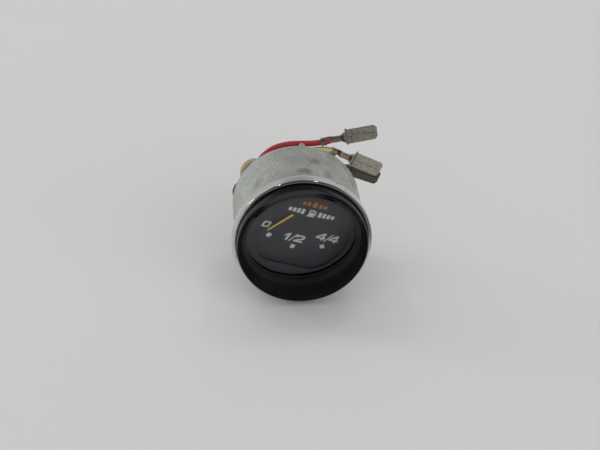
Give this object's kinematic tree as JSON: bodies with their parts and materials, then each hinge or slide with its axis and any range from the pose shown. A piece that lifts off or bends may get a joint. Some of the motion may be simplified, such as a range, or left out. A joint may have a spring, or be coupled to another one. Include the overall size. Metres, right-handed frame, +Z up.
{
  "type": "fuel gauge",
  "caption": "Round panel fuel gauge with a black hood, bright bezel, slanted window, swinging pointer, plated case and wire leads ending in blade terminals.",
  "frame": {"origin": "on the case's axis, in the plane of the bezel's back face, which seats on the panel", "axes": "+X right and +Z up, towards the dial's twelve o'clock; +Y along the case's axis, from the window towards the back"},
  "size_m": [0.0599, 0.048, 0.067],
  "materials": {
    "zinc": "dull zinc plate, stained and lightly pitted",
    "bezel_chrome": "bright plated ring with small scratches",
    "hood_black": "satin black",
    "black_rubber": "matt black rubber",
    "window_glass": "clear flat glass",
    "dial_black": "matt black paint",
    "white_print": "off-white screen print",
    "steel": "plain bright steel",
    "pointer_yellow": "aluminium painted deep yellow",
    "brass": "plain brass",
    "soft_iron": "soft iron, dull",
    "former_brown": "brown moulded phenolic",
    "enamelled_wire": "copper wire under clear enamel",
    "base_black": "dark moulded phenolic",
    "red_insulation": "red flexible insulation, slightly dusty",
    "yellow_insulation": "yellow flexible insulation with a dark tracer",
    "black_insulation": "black flexible insulation",
    "copper": "bare copper strands, dulled",
    "tinned": "tinned brass, dull and oxidised",
    "nickel": "nickel-plated cap",
    "bulb_clear": "clear lamp glass"
  },
  "bodies": {
    "gauge": {"case_shell": "zinc", "back_plate": "zinc", "bezel_ring": "bezel_chrome", "hood": "hood_black", "glass_seal": "black_rubber", "glass": "window_glass", "spacer_ring": "hood_black", "dial_plate": "dial_black", "dial_print": "white_print", "dial_mask": "dial_black", "mask_print": "white_print", "dial_screws": "steel", "front_bridge": "brass", "stop_pins": "steel", "bearings": "brass", "bridge_screws": "steel", "dial_pillars": "steel", "frame_plate": "soft_iron", "coil_cores": "soft_iron", "coil_formers": "former_brown", "supply_winding": "enamelled_wire", "sender_winding": "enamelled_wire", "tag_board": "former_brown", "solder_tags": "brass", "inner_wires": "red_insulation", "movement_base": "base_black", "studs": "brass", "insulating_washers": "former_brown", "stud_washers": "steel", "stud_nuts": "brass", "grommet": "black_rubber", "red_lead": "red_insulation", "yellow_lead": "yellow_insulation", "black_lead": "black_insulation", "bare_strands": "copper", "red_terminal": "tinned", "yellow_terminal": "tinned", "black_terminal": "tinned"},
    "needle": {"pointer": "pointer_yellow", "pointer_hub": "brass", "staff": "steel", "armature_vane": "soft_iron", "balance_arm": "brass"},
    "lamp": {"lamp_shell": "brass", "lamp_insulator": "former_brown", "lamp_blade": "brass", "bulb_cap": "nickel", "bulb_glass": "bulb_clear"}
  },
  "joints": [
    {"name": "pointer_sweep", "type": "hinge", "parent": "gauge", "child": "needle", "pos_m": [-0.00044, 0.0006, 0.01501], "axis": [0.1147, -0.9763, -0.1836], "range_deg": [0, 72]},
    {"name": "lamp_pull", "type": "slide", "parent": "gauge", "child": "lamp", "axis": [0, 1, 0], "range_m": [0, 0.02]}
  ]
}
